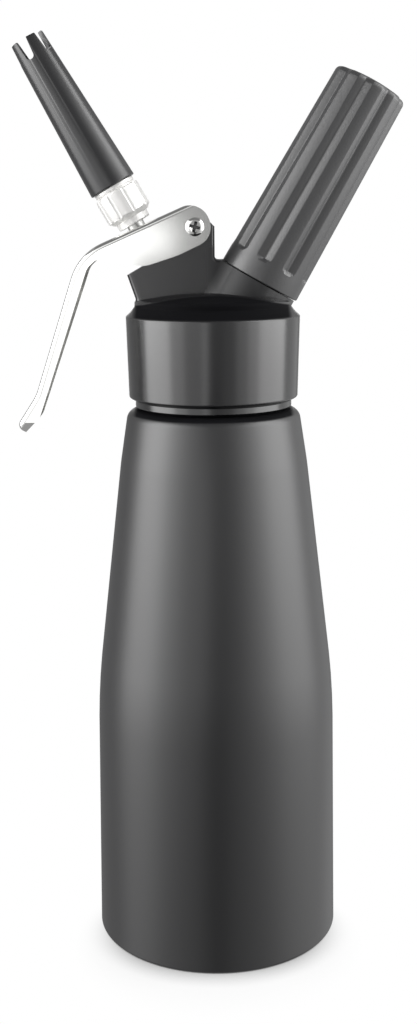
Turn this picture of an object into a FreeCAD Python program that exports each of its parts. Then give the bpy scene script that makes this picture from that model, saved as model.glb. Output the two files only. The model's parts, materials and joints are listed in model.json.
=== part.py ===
import FreeCAD, Part
import os
from math import atan2, cos, degrees, pi, radians, sin, tan

# Whipped cream dispenser of about one litre, worked by a squeeze lever and an 8 g gas charger.
# Millimetres. The origin is the centre of the bottle's base, +Z is up along the bottle's axis,
# -X is the side of the nozzle and the lever, +X the side of the charger holder.

V = FreeCAD.Vector

# ---- Fits ---------------------------------------------------------------------------------
PRESS_GAP = 0.02        # radial gap of a part that is pressed, screwed or glued into another
RUNNING_GAP = 0.06      # radial gap of a pin or a stem that turns or slides in its bore
FACE_GAP = 0.05         # gap between two flat faces that close on each other
FREE_GAP = 0.3          # gap between moving parts that only pass each other

# ---- Bottle -------------------------------------------------------------------------------
BODY_R = 46.0           # at the base
WAIST_R = 46.35         # where the cylinder would meet the taper
WAIST_Z = 92.5
WAIST_ROUND = 220.0
TAPER_END_R = 36.9
TAPER_END_Z = 181.0
TAPER_ROUND = 60.0
SHOULDER_R = 33.9
SHOULDER_Z = 201.8
SHOULDER_ROUND = 4.2
BASE_ROUND = 1.0
BOTTLE_WALL = 1.8
BASE_THICKNESS = 2.5
BASE_RECESS = 1.6       # the base is dished, so the bottle stands on a ring
FOOT_RING = 6.0         # width of that ring
NECK_R = 28.3           # at the thread's root
NECK_WALL = 2.1
NECK_HEIGHT = 29.4
NECK_THREAD_DEPTH = 1.15
NECK_THREAD_PITCH = 4.0
NECK_THREAD_START = 4.5         # above the shoulder
NECK_THREAD_LENGTH = 20.0

# ---- Head casting -------------------------------------------------------------------------
HEAD_GAP = 0.9          # visible gap between the shoulder and the collar
COLLAR_LOWER_R = 33.4
COLLAR_UPPER_R = 34.6
COLLAR_HEIGHT = 37.6
COLLAR_CHAMFER = 4.0    # height of the chamfer and the lip under the collar
COLLAR_LIP_HEIGHT = 2.6
COLLAR_LIP_WALL = 1.15
RIM_HEIGHT = 1.9        # slope from the collar's side to its top
RIM_WIDTH = 2.0
STEP_HEIGHT = 1.9       # second, inner slope up to the dome
STEP_WIDTH = 1.5
DOME_EDGE = 4.7         # the dome's edge above the collar's top
DOME_EDGE_ROUND = 1.6
DOME_RISE = 2.9
DOME_ROUND = 60.0
GASKET_THICKNESS = 2.8
GASKET_WIDTH = 3.2
CEILING_RECESS = 4.8    # hollow under the casting, above the gasket's land
CEILING_R = 25.2
CASTING_SKIN = 1.0      # the boss stays this far above that hollow

# ---- Valve axis: leans to -X -----------------------------------------------------------------
VALVE_TILT = 30.0
VALVE_CROSS = 18.1      # where it meets the bottle's axis, below the collar's top
GUIDE_R = 6.6
GUIDE_CUP_R = 5.6       # the spring stands in this cup
GUIDE_CUP_DEPTH = 7.7
GUIDE_FOOT = 1.04       # the guide's lower end, the valve seat, below the casting's ceiling
GUIDE_FOOT_CHAMFER = 1.2
SEAT_LIP = 0.6
SEAT_GAP = 0.2          # between the seat and its seal, so that they don't touch in the model
STEM_R = 3.5
STEM_BORE_R = 1.75
STEM_TOP = 2.9          # below the nozzle's base
STEM_BORE_END = 1.0     # above the seat
STEM_PORT_R = 1.1
STEM_PORT = 2.5         # above the seat
STEM_TAIL_R = 2.4
STEM_TAIL_LENGTH = 5.5
THRUST_COLLAR_R = 6.6   # the collar that the lever presses
THRUST_COLLAR_DROP = 0.45       # its top falls away outwards, so the lever rolls on it
THRUST_COLLAR_HEIGHT = 2.5
SPRING_ROOM = 10.1      # from the collar's back at rest to the tower's sloping top
O_RING_CORD_R = 0.5
O_RING_PLACES = [3.6, 12.2]     # below the cup's floor
O_RING_GROOVE = 1.3     # width of the groove in the stem
FOOT_SEAL_R = 5.9
FOOT_SEAL_THICKNESS = 1.9
FOOT_NUT_R = 5.6
FOOT_NUT_HEIGHT = 3.0
SPRING_WIRE_R = 0.55
SPRING_COIL_R = 4.55
SPRING_TURNS = 6.5
SET_SCREW = 3.3         # below the tower's sloping top, at the back
SET_SCREW_R = 1.25
SET_SCREW_BITE = 0.5    # how far its tip enters the guide
SET_SCREW_SLOT_LENGTH = 1.6
SET_SCREW_SLOT = 0.5
SET_SCREW_SLOT_DEPTH = 0.7

# ---- Nozzle and its adapter -----------------------------------------------------------------
NOZZLE_LENGTH = 67.6
NOZZLE_BASE_R = 9.65
NOZZLE_TIP_R = 7.06
NOZZLE_BORE_R = 5.1
NOZZLE_SOCKET_DEPTH = 12.0
NOZZLE_TOOTH_COUNT = 5
NOZZLE_NOTCH = 3.2      # width of a notch between two teeth
NOZZLE_NOTCH_DEPTH = 8.7
NOZZLE_NOTCH_TURN = -16.0       # the first notch, counted from the front, towards +X
NOZZLE_TOOTH_SLOPE = 0.9        # each tooth narrows by this much on both sides
ADAPTER_GAP = 1.73      # along the stem, from the lever's top plate to the adapter
ADAPTER_THREAD_R = 6.1
ADAPTER_THREAD_DEPTH = 0.6
ADAPTER_THREAD_PITCH = 1.5
ADAPTER_THREAD_START = 1.0
ADAPTER_THREAD_END = 10.1
ADAPTER_STUB = 10.6
ADAPTER_BORE_R = 2.6
ADAPTER_FLANGE_R = 8.5
ADAPTER_FLANGE = 1.7
ADAPTER_GROOVE_R = 7.9
ADAPTER_GROOVE = 0.8
ADAPTER_NUT_R = 9.3
ADAPTER_NUT_END = 14.4
ADAPTER_NUT_CHAMFER = 1.8
ADAPTER_HUB_R = 6.85
ADAPTER_HUB_END = 17.2
ADAPTER_FLUTE_COUNT = 9
ADAPTER_FLUTE = 1.5     # width of a flute
ADAPTER_FLUTE_DEPTH = 0.35
ADAPTER_FLUTE_TURN = -21.0
NOZZLE_SEAL_R = 5.8
NOZZLE_SEAL_BORE_R = 3.2
NOZZLE_SEAL_THICKNESS = 1.1

# ---- Tower and pivot of the lever -----------------------------------------------------------
TOWER_HALF = 8.5        # half its thickness
TOWER_LEFT_X = -30.3
TOWER_KNEE = 5.3        # above the collar's top
TOWER_KNEE_ROUND = 2.5
TOWER_REACH = 12.7      # from the valve axis to the tower's outer top corner
TOWER_EDGE_ROUND = 2.2
PIVOT_X = -6.8
PIVOT_HEIGHT = 33.5     # above the collar's top
LUG_R = 5.6
FIN_X = 0.9             # the tower's edge beside the charger holder, up to the pivot
FIN_EDGE_ROUND = 1.5
VALLEY_HEIGHT = 20.3    # floor between tower and charger boss, above the collar's top
VALLEY_ROUND = 1.4
PIVOT_BUSH_R = 3.6
PIVOT_SHANK_R = 2.5
PIVOT_HEAD_R = 3.7
PIVOT_HEAD_HEIGHT = 1.5
PIVOT_HEAD_ROUND = 0.7
CROSS_WIDTH = 0.9       # arms of the cross recess in screw heads
CROSS_LENGTH = 4.6
CROSS_DEPTH = 1.0
PIVOT_NUT_FLATS_R = 3.6
PIVOT_NUT_HEIGHT = 2.2
PIVOT_NUT_DOME_R = 2.9
PIVOT_NUT_DOME = 1.4

# ---- Lever ----------------------------------------------------------------------------------
SHEET = 1.2             # stainless sheet, folded to a channel that is open towards the bottle
LEVER_HALF = 10.0       # half its width over the pivot
HANDLE_HALF = 6.8       # half its width at the tip
HANDLE_TAPER_TOP = 24.0         # below the pivot, where the handle starts to narrow
HANDLE_TAPER_ROUND = 60.0
HANDLE_CORNER_ROUND = 5.0
BEND_ROUND = 2.0        # outside of the sheet's bends
LEVER_TILT = 23.9       # of the top plate
LEVER_TOP = 9.2         # from the pivot up to the top plate's outside, square to it
LEVER_END = 6.3         # from the pivot to the lever's end, along the top plate
LEVER_END_DROP = 7.0    # from the pivot down to that end's lower corner
LEVER_END_ROUND = 8.0
LEVER_END_LOWER_ROUND = 7.6
TOP_PLATE_END = 1.0     # the top plate itself ends this far past the pivot, between the side plates
TIP_FLAT = 0.5          # the handle's corner roundings end this far below its tip
# Corners of its side view, measured from the pivot: x, z and rounding.
LEVER_OUTER = [(-45.7, -10.2, 22.0), (-63.0, -65.9, 15.0)]
LEVER_TIP = [(-70.9, -78.3, 2.8), (-67.4, -80.7, 0)]
LEVER_LOWER = [(-61.6, -74.6, 8.0), (-42.3, -15.7, 7.0), (-38.9, -12.7, 1.5), (-26.7, -14.0, 12.0),
               (-20.4, -15.6, 12.0), (-6.3, -11.0, 40.0)]
SLOT_PLAY = 0.4         # the slot in the top plate is wider than the stem by this much on each side
SLOT_TRAVEL = 1.7       # and longer than wide
SLOT_CENTRE = 20.0      # its middle along the top plate, from the pivot
THRUST_PLAY = 0.5       # between the lever at rest and the stem's collar, on the valve axis

# ---- Charger axis: leans to +X, named sizes run up from the holder's base --------------------
CHARGER_TILT = 30.0
CHARGER_REACH = 37.2    # from the bottle's axis up to the holder's base
CHARGER_CROSS = 20.3    # where it meets the bottle's axis, below the collar's top
BOSS_R = 16.0
BOSS_GAP = 0.35         # visible gap between the boss and the holder
BOSS_BLEND = 8.0        # radius of the blend between the boss and the tower's faces
INLET_R = 9.2           # root of the inlet's thread
INLET_THREAD_DEPTH = 1.0
INLET_THREAD_PITCH = 2.0
INLET_THREAD_START = 3.0
INLET_TOP = 22.0
INLET_EDGE_ROUND = 0.8
INLET_SHANK_R = 7.5
INLET_SHANK_END = -10.0
INLET_WASHER = 0.8
POCKET_R = 4.6          # takes the charger's neck
POCKET_FLOOR = 14.0
PIN_PLUG_R = 3.5
PIN_PLUG_LENGTH = 8.0
PIN_R = 1.5
PIN_TIP = 18.6
PIN_POINT = 1.4         # length of its conical point
PIN_BORE_R = 0.5
PIN_LIP = 0.2           # wall left at the point
PIN_GASKET_THICKNESS = 2.0
GAS_BORE_R = 1.5
CHECK_R = 3.2
CHECK_DEPTH = 6.0
CHECK_DISC_THICKNESS = 1.5
CHECK_PLUG_THICKNESS = 1.6
CHECK_SPRING_WIRE_R = 0.25
CHECK_SPRING_TURNS = 3

# ---- Gas charger ----------------------------------------------------------------------------
CHARGER_LENGTH = 65.5
CHARGER_R = 9.0
CHARGER_NECK_R = 4.3
CHARGER_NECK = 7.5
CHARGER_NECK_ROUND = 2.0
CHARGER_SHOULDER = 5.5
CHARGER_SHOULDER_ROUND = 5.0
CHARGER_END_ROUND = 7.5
CHARGER_WALL = 1.2
CHARGER_MOUTH_R = 2.6
CHARGER_CAP = 0.8
CHARGER_PIERCED_R = 1.9

# ---- Charger holder -------------------------------------------------------------------------
HOLDER_BASE_R = 16.75
HOLDER_TIP_R = 15.4
HOLDER_LENGTH = 90.8
HOLDER_CROWN = 1.3      # the end is slightly domed
HOLDER_CROWN_ROUND = 40.0
HOLDER_EDGE_ROUND = 1.2
HOLDER_GROOVE_COUNT = 9
HOLDER_GROOVE_DEPTH = 1.6
HOLDER_GROOVE = 6.4     # width of a groove at the surface
HOLDER_GROOVE_ROUND = 1.2       # at its floor
HOLDER_GROOVE_START = 7.2
HOLDER_GROOVE_END = 1.0         # below the end's edge
HOLDER_GROOVE_TURN = -12.5      # the first groove, counted from the front
HOLDER_END_ROUND = 4.0  # inner corner of the bore's blind end

# ---- Places worked out from the sizes above ---------------------------------------------------
FAR = 120               # longer than any cut
neck_top = SHOULDER_Z + NECK_HEIGHT
collar_base = SHOULDER_Z + HEAD_GAP
collar_top = collar_base + COLLAR_HEIGHT
neck_crest = NECK_R + NECK_THREAD_DEPTH
collar_bore = neck_crest + FREE_GAP
gasket_base = neck_top + FACE_GAP
gasket_top = gasket_base + GASKET_THICKNESS
land = gasket_top + FACE_GAP
ceiling = land + CEILING_RECESS
pivot = V(PIVOT_X, 0, collar_top + PIVOT_HEIGHT)
charger_up = V(sin(radians(CHARGER_TILT)), 0, cos(radians(CHARGER_TILT)))
holder_base = V(0, 0, collar_top - CHARGER_CROSS) + charger_up * CHARGER_REACH
inlet_crest = INLET_R + INLET_THREAD_DEPTH
charger_mouth = POCKET_FLOOR + PIN_GASKET_THICKNESS + FREE_GAP
charger_end = charger_mouth + CHARGER_LENGTH
valve_up = V(-sin(radians(VALVE_TILT)), 0, cos(radians(VALVE_TILT)))
valve_across = V(valve_up.z, 0, -valve_up.x)
valve_foot = V(0, 0, collar_top - VALVE_CROSS)
lever_along = V(cos(radians(LEVER_TILT)), 0, sin(radians(LEVER_TILT)))
lever_up = V(-lever_along.z, 0, lever_along.x)
lever_crossing = (LEVER_TOP - (valve_foot - pivot).dot(lever_up)) / valve_up.dot(lever_up)
nozzle_base = valve_foot + valve_up * (lever_crossing + ADAPTER_GAP + ADAPTER_HUB_END)

# Places on the valve axis, counted down from the nozzle's base.
lever_under = ADAPTER_HUB_END + ADAPTER_GAP + SHEET / valve_up.dot(lever_up)
collar_face = lever_under + THRUST_PLAY
collar_back = collar_face + THRUST_COLLAR_HEIGHT
tower_top = collar_back + SPRING_ROOM
cup_floor = tower_top + GUIDE_CUP_DEPTH
guide_end = (nozzle_base.z - ceiling + GUIDE_FOOT) / valve_up.z
seal_top = guide_end + SEAT_GAP
o_rings = [cup_floor + place for place in O_RING_PLACES]
screw_face = LEVER_HALF + 2 * FACE_GAP          # the pivot screw and its nut sit just off the lever


# ---- Helpers ----------------------------------------------------------------------------------
def outline(corners):
    """Closed wire in the XZ plane. A corner (x, z, r) is rounded with radius r."""
    points = [V(corner[0], 0, corner[1]) for corner in corners]
    entries, exits, arcs = [], [], []
    for index, corner in enumerate(corners):
        here = points[index]
        radius = corner[2] if len(corner) > 2 else 0
        if radius == 0:
            entries.append(here)
            exits.append(here)
            arcs.append(None)
            continue
        back = (points[index - 1] - here).normalize()
        onward = (points[(index + 1) % len(points)] - here).normalize()
        half_angle = back.getAngle(onward) / 2
        reach = radius / tan(half_angle)
        entries.append(here + back * reach)
        exits.append(here + onward * reach)
        middle = here + (back + onward).normalize() * (radius / sin(half_angle) - radius)
        arcs.append(Part.Arc(entries[-1], middle, exits[-1]).toShape())
    edges = []
    for index, arc in enumerate(arcs):
        if arc:
            edges.append(arc)
        following = entries[(index + 1) % len(entries)]
        if exits[index].distanceToPoint(following) > 1e-6:
            edges.append(Part.makeLine(exits[index], following))
    return Part.Wire(edges)


def turned(corners):
    """Solid of revolution about Z; the corners are (radius, height, rounding)."""
    return Part.Face(outline(corners)).revolve(V(0, 0, 0), V(0, 0, 1), 360)


def plate(corners, half):
    """Plate with its outline in the XZ plane, from y = -half to y = +half."""
    face = Part.Face(outline(corners))
    face.translate(V(0, -half, 0))
    return face.extrude(V(0, 2 * half, 0))


def rod(radius, low, high):
    """Cylinder about Z between two heights."""
    return Part.makeCylinder(radius, high - low, V(0, 0, low))


def ring(outer, inner, low, high):
    return rod(outer, low, high).cut(rod(inner, low - 1, high + 1))


def rod_y(radius, centre, low, high):
    """Cylinder along Y through a point of the XZ plane."""
    return Part.makeCylinder(radius, high - low, V(centre.x, low, centre.z), V(0, 1, 0))


def thread_ridge(root, crest, pitch, low, high):
    """Helical ridge of a right-hand outside thread, rooted a little inside its core."""
    embed = 0.3
    foot = 0.36 * pitch
    top = 0.12 * pitch
    helix = Part.makeHelix(pitch, high - low - 2 * foot, root)
    corners = [V(root - embed, 0, -foot), V(crest, 0, -top), V(crest, 0, top), V(root - embed, 0, foot)]
    profile = Part.makePolygon(corners + corners[:1])
    ridge = Part.Wire(helix).makePipeShell([profile], True, True)
    ridge.translate(V(0, 0, low + foot))
    return ridge


def coil(wire_r, coil_r, low, high, turns):
    """Compression spring about Z between two heights."""
    rise = high - low - 2 * wire_r
    helix = Part.makeHelix(rise / turns, rise, coil_r)
    section = Part.Wire(Part.makeCircle(wire_r, V(coil_r, 0, 0), V(0, 1, 0)))
    spring = Part.Wire(helix).makePipeShell([section], True, True)
    spring.translate(V(0, 0, low + wire_r))
    return spring


def cross_recess(length, width, depth):
    """Cutter for a cross recess, sunk down from z = 0."""
    arm = Part.makeBox(length, width, 2 * depth, V(-length / 2, -width / 2, -depth))
    other = Part.makeBox(width, length, 2 * depth, V(-width / 2, -length / 2, -depth))
    return arm.fuse(other)


def leaning(shape, tilt, base):
    """Moves a shape made about Z, with z = 0 at the base, onto a leaning axis."""
    shape.rotate(V(0, 0, 0), V(0, 1, 0), tilt)
    shape.translate(base)
    return shape


def on_valve(shape):
    return leaning(shape, -VALVE_TILT, nozzle_base)


def on_charger(shape):
    return leaning(shape, CHARGER_TILT, holder_base)


def around(cutter, count, turn):
    """Copies of a cutter made at the front (-Y) about Z, the first one turned towards +X."""
    copies = []
    for index in range(count):
        copy = cutter.copy()
        copy.rotate(V(0, 0, 0), V(0, 0, 1), turn + index * 360 / count)
        copies.append(copy)
    return copies


# ---- Bottle -----------------------------------------------------------------------------------
def bottle():
    wall = BOTTLE_WALL
    floor = BASE_RECESS + BASE_THICKNESS
    body = turned([
        (0, BASE_RECESS), (BODY_R - FOOT_RING - BASE_RECESS, BASE_RECESS, 1.0), (BODY_R - FOOT_RING, 0, 1.0),
        (BODY_R, 0, BASE_ROUND), (WAIST_R, WAIST_Z, WAIST_ROUND), (TAPER_END_R, TAPER_END_Z, TAPER_ROUND),
        (SHOULDER_R, SHOULDER_Z, SHOULDER_ROUND), (NECK_R, SHOULDER_Z, 0.6), (NECK_R, neck_top, 0.5),
        (NECK_R - NECK_WALL, neck_top, 0.5), (NECK_R - NECK_WALL, SHOULDER_Z - wall, 0.5),
        (SHOULDER_R - wall, SHOULDER_Z - wall, SHOULDER_ROUND - wall),
        (TAPER_END_R - wall, TAPER_END_Z, TAPER_ROUND), (WAIST_R - wall, WAIST_Z, WAIST_ROUND),
        (BODY_R - wall, floor, 4.0), (0, floor)])
    start = SHOULDER_Z + NECK_THREAD_START
    return body.fuse(thread_ridge(NECK_R, neck_crest, NECK_THREAD_PITCH, start, start + NECK_THREAD_LENGTH))


# ---- Head -------------------------------------------------------------------------------------
def head_shell():
    """Collar, dome and the hollow under them, turned about the bottle's axis."""
    lip_r = collar_bore + COLLAR_LIP_WALL
    rim_r = COLLAR_UPPER_R - RIM_WIDTH
    dome_r = rim_r - STEP_WIDTH
    dome_edge = collar_top + DOME_EDGE
    return turned([
        (collar_bore, collar_base), (lip_r, collar_base, 0.5), (lip_r, collar_base + COLLAR_LIP_HEIGHT),
        (COLLAR_LOWER_R, collar_base + COLLAR_CHAMFER, 0.8),
        (COLLAR_UPPER_R, collar_top - RIM_HEIGHT, 0.5), (rim_r, collar_top, 0.4),
        (dome_r, collar_top + STEP_HEIGHT, 0.4), (dome_r, dome_edge, DOME_EDGE_ROUND),
        (dome_r / 2, dome_edge + 0.9 * DOME_RISE, DOME_ROUND), (0, dome_edge + DOME_RISE),
        (0, ceiling), (CEILING_R, ceiling, 1.5), (CEILING_R, land), (collar_bore, land)])


def tower():
    """Slab that carries the valve and the lever, with the lug around the pivot."""
    top_corner = nozzle_base - valve_up * tower_top - valve_across * TOWER_REACH
    under_pivot = (PIVOT_X - top_corner.x) / valve_across.x
    touch = pi / 2 - atan2(LUG_R, FIN_X - PIVOT_X)
    root = collar_top + DOME_EDGE / 2
    valley = collar_top + VALLEY_HEIGHT
    slab = plate([
        (TOWER_LEFT_X, root), (TOWER_LEFT_X, collar_top + TOWER_KNEE, TOWER_KNEE_ROUND),
        (top_corner.x, top_corner.z), (PIVOT_X, top_corner.z + under_pivot * valve_across.z),
        (PIVOT_X, pivot.z), (PIVOT_X + LUG_R * cos(touch), pivot.z + LUG_R * sin(touch)),
        (FIN_X, pivot.z), (FIN_X, valley, VALLEY_ROUND), (holder_base.x, valley), (holder_base.x, root)],
        TOWER_HALF)
    upright = [edge.BoundBox.YLength < 0.01 and edge.BoundBox.ZLength > 0.1 for edge in slab.Edges]
    outer = [edge for edge, long in zip(slab.Edges, upright)
             if long and edge.BoundBox.XMax < TOWER_LEFT_X + 1]
    fin = [edge for edge, long in zip(slab.Edges, upright)
           if long and abs(edge.BoundBox.Center.x - FIN_X) < 0.01]
    slab = slab.makeFillet(TOWER_EDGE_ROUND, outer).makeFillet(FIN_EDGE_ROUND, fin)
    lug = rod_y(LUG_R, pivot, -TOWER_HALF, TOWER_HALF)
    return slab.fuse(lug)


def charger_boss():
    """Round boss that carries the charger holder, blended into the tower's two faces."""
    low = -BOSS_R - BOSS_GAP
    boss = rod(BOSS_R, low, -BOSS_GAP)
    blend_r = BOSS_BLEND + PRESS_GAP        # so the blend just enters both faces it runs out on
    centre_y = TOWER_HALF + BOSS_BLEND
    centre_x = -((BOSS_R + BOSS_BLEND) ** 2 - centre_y ** 2) ** 0.5
    share = BOSS_R / (BOSS_R + BOSS_BLEND)
    web = Part.makePolygon([
        V(centre_x, -centre_y, low), V(centre_x, centre_y, low), V(share * centre_x, share * centre_y, low),
        V(share * centre_x, -share * centre_y, low), V(centre_x, -centre_y, low)])
    web = Part.Face(web).extrude(V(0, 0, -BOSS_GAP - low))
    for side in (-1, 1):
        hollow = rod(blend_r, low - 1, 0)
        hollow.translate(V(centre_x, side * centre_y, 0))
        web = web.cut(hollow)
    boss = on_charger(boss.fuse(web))
    below = Part.makeBox(2 * FAR, 2 * FAR, FAR, V(-FAR, -FAR, ceiling + CASTING_SKIN - FAR))
    return boss.cut(below)


def head_body():
    holder_space = on_charger(rod(HOLDER_BASE_R + 2 * FREE_GAP, -BOSS_GAP, HOLDER_BASE_R))
    solid = head_shell().fuse([tower().cut(holder_space), charger_boss()])
    valve_bore = on_valve(rod(GUIDE_R + PRESS_GAP, -guide_end - GUIDE_R, -tower_top + GUIDE_R))
    set_screw_at = nozzle_base - valve_up * (tower_top + SET_SCREW)
    set_screw_hole = rod_y(SET_SCREW_R + PRESS_GAP, set_screw_at, 0, TOWER_HALF + 1)
    inlet_bore = on_charger(rod(INLET_SHANK_R + PRESS_GAP, INLET_SHANK_END, 0))
    gas_bore = on_charger(rod(GAS_BORE_R, INLET_SHANK_END - 2 * GUIDE_R, INLET_SHANK_END + 1))
    pivot_bore = rod_y(PIVOT_BUSH_R + PRESS_GAP, pivot, -TOWER_HALF - 1, TOWER_HALF + 1)
    return solid.cut([valve_bore, set_screw_hole, inlet_bore, gas_bore, pivot_bore]).removeSplitter()


def head_gasket():
    outer = collar_bore - RUNNING_GAP
    return turned([
        (outer - GASKET_WIDTH, gasket_base, 0.5), (outer, gasket_base, 0.5),
        (outer, gasket_top, 0.5), (outer - GASKET_WIDTH, gasket_top, 0.5)])


# ---- Valve ------------------------------------------------------------------------------------
def valve_guide():
    """Sleeve pressed into the tower: cup for the spring, bore for the stem, seat at its lower end."""
    bore = STEM_R + RUNNING_GAP
    guide = turned([
        (bore, -guide_end), (bore + SEAT_LIP, -guide_end), (GUIDE_R, -guide_end + GUIDE_FOOT_CHAMFER),
        (GUIDE_R, -tower_top), (GUIDE_CUP_R, -tower_top), (GUIDE_CUP_R, -cup_floor), (bore, -cup_floor)])
    bite = Part.makeCylinder(SET_SCREW_R + PRESS_GAP, 1 + SET_SCREW_BITE,
                             V(0, GUIDE_R - SET_SCREW_BITE, -tower_top - SET_SCREW), V(0, 1, 0))
    return on_valve(guide.cut(bite))


def guide_set_screw():
    """Grub screw through the tower's back into the guide."""
    length = TOWER_HALF - GUIDE_R + SET_SCREW_BITE - PRESS_GAP
    screw = rod(SET_SCREW_R, -length, 0)
    screw = screw.cut(cross_recess(SET_SCREW_SLOT_LENGTH, SET_SCREW_SLOT, SET_SCREW_SLOT_DEPTH))
    screw.rotate(V(0, 0, 0), V(1, 0, 0), -90)
    screw.translate(V(0, TOWER_HALF, 0) + nozzle_base - valve_up * (tower_top + SET_SCREW))
    return screw


def valve_stem():
    """Hollow stem: screwed into the adapter, pressed by the lever, closed by the foot seal."""
    groove_floor = STEM_R + RUNNING_GAP / 2 - 2 * O_RING_CORD_R - FACE_GAP / 2
    tail_end = seal_top + STEM_TAIL_LENGTH
    bore_end = guide_end - STEM_BORE_END
    stem = turned([
        (0, -tail_end), (STEM_TAIL_R, -tail_end, 0.4), (STEM_TAIL_R, -seal_top),
        (STEM_R, -seal_top), (STEM_R, -collar_back), (THRUST_COLLAR_R, -collar_back, 0.4),
        (THRUST_COLLAR_R, -collar_face - THRUST_COLLAR_DROP, 0.3), (STEM_R, -collar_face),
        (STEM_R, -STEM_TOP), (STEM_BORE_R, -STEM_TOP), (STEM_BORE_R, -bore_end), (0, -bore_end)])
    half = O_RING_GROOVE / 2
    grooves = [ring(STEM_R + 1, groove_floor, -place - half, -place + half) for place in o_rings]
    port_at = STEM_PORT - guide_end
    port = Part.makeCylinder(STEM_PORT_R, 4 * STEM_R, V(-2 * STEM_R, 0, port_at), V(1, 0, 0))
    other_port = Part.makeCylinder(STEM_PORT_R, 4 * STEM_R, V(0, -2 * STEM_R, port_at), V(0, 1, 0))
    return on_valve(stem.cut(grooves + [port, other_port]))


def stem_o_rings():
    middle_r = STEM_R + RUNNING_GAP / 2 - O_RING_CORD_R
    rings = [Part.makeTorus(middle_r, O_RING_CORD_R, V(0, 0, -place)) for place in o_rings]
    return on_valve(Part.makeCompound(rings))


def foot_seal():
    """Rubber washer that closes on the guide's lower end."""
    return on_valve(ring(FOOT_SEAL_R, STEM_TAIL_R + PRESS_GAP, -seal_top - FOOT_SEAL_THICKNESS, -seal_top))


def foot_nut():
    """Round nut that holds the foot seal on the stem."""
    top = -seal_top - FOOT_SEAL_THICKNESS
    nut = turned([
        (STEM_TAIL_R + PRESS_GAP, top - FOOT_NUT_HEIGHT), (FOOT_NUT_R, top - FOOT_NUT_HEIGHT, 0.8),
        (FOOT_NUT_R, top), (STEM_TAIL_R + PRESS_GAP, top)])
    return on_valve(nut)


def valve_spring():
    """Return spring between the guide's cup and the stem's thrust collar."""
    return on_valve(coil(SPRING_WIRE_R, SPRING_COIL_R, -cup_floor + FACE_GAP,
                         -collar_back - FACE_GAP, SPRING_TURNS))


def nozzle_adapter():
    """Metal nut on the stem, with a threaded stub for the nozzle."""
    root = ADAPTER_THREAD_R - ADAPTER_THREAD_DEPTH
    groove_top = -FACE_GAP - ADAPTER_FLANGE
    nut_top = groove_top - ADAPTER_GROOVE
    body = turned([
        (STEM_R + PRESS_GAP, -ADAPTER_HUB_END), (ADAPTER_HUB_R, -ADAPTER_HUB_END, 0.6),
        (ADAPTER_HUB_R, -ADAPTER_NUT_END), (ADAPTER_NUT_R - ADAPTER_NUT_CHAMFER, -ADAPTER_NUT_END),
        (ADAPTER_NUT_R, -ADAPTER_NUT_END + ADAPTER_NUT_CHAMFER, 0.5), (ADAPTER_NUT_R, nut_top, 0.4),
        (ADAPTER_GROOVE_R, nut_top), (ADAPTER_GROOVE_R, groove_top), (ADAPTER_FLANGE_R, groove_top, 0.3),
        (ADAPTER_FLANGE_R, -FACE_GAP, 0.3), (root, -FACE_GAP), (root, ADAPTER_STUB, 0.4),
        (ADAPTER_BORE_R, ADAPTER_STUB), (ADAPTER_BORE_R, -STEM_TOP + PRESS_GAP),
        (STEM_R + PRESS_GAP, -STEM_TOP + PRESS_GAP)])
    flute_r = ADAPTER_FLUTE_DEPTH / 2 + ADAPTER_FLUTE ** 2 / (8 * ADAPTER_FLUTE_DEPTH)
    flute_at = ADAPTER_NUT_R - ADAPTER_FLUTE_DEPTH + flute_r
    flute = Part.makeCylinder(flute_r, ADAPTER_NUT_END, V(0, -flute_at, -ADAPTER_NUT_END - 1))
    flute = flute.common(rod(2 * ADAPTER_NUT_R, -ADAPTER_NUT_END - 1, nut_top))
    body = body.cut(around(flute, ADAPTER_FLUTE_COUNT, ADAPTER_FLUTE_TURN))
    ridge = thread_ridge(root, ADAPTER_THREAD_R, ADAPTER_THREAD_PITCH, ADAPTER_THREAD_START,
                         ADAPTER_THREAD_END)
    return on_valve(body.fuse(ridge))


# ---- Nozzle -----------------------------------------------------------------------------------
def nozzle_seal():
    """Flat ring between the adapter's stub and the shoulder inside the nozzle."""
    top = NOZZLE_SOCKET_DEPTH - FACE_GAP
    return on_valve(ring(NOZZLE_SEAL_R, NOZZLE_SEAL_BORE_R, top - NOZZLE_SEAL_THICKNESS, top))


def nozzle():
    """Tapered tulip nozzle; its tip is cut into teeth."""
    socket_r = ADAPTER_THREAD_R + FREE_GAP
    body = turned([
        (socket_r, 0), (NOZZLE_BASE_R, 0, 0.3), (NOZZLE_TIP_R, NOZZLE_LENGTH, 0.3),
        (NOZZLE_BORE_R, NOZZLE_LENGTH), (NOZZLE_BORE_R, NOZZLE_SOCKET_DEPTH),
        (socket_r, NOZZLE_SOCKET_DEPTH)])
    notch_floor = NOZZLE_LENGTH - NOZZLE_NOTCH_DEPTH
    half = NOZZLE_NOTCH / 2
    notch = plate([
        (-half, notch_floor, 0.9 * half), (half, notch_floor, 0.9 * half),
        (half + NOZZLE_TOOTH_SLOPE, NOZZLE_LENGTH + 1), (-half - NOZZLE_TOOTH_SLOPE, NOZZLE_LENGTH + 1)],
        NOZZLE_BASE_R)
    notch.translate(V(0, -NOZZLE_BASE_R, 0))
    return on_valve(body.cut(around(notch, NOZZLE_TOOTH_COUNT, NOZZLE_NOTCH_TURN)))


# ---- Lever and its pivot ----------------------------------------------------------------------
def from_pivot(corners):
    return [(PIVOT_X + x, pivot.z + z, rounding) for x, z, rounding in corners]


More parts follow.
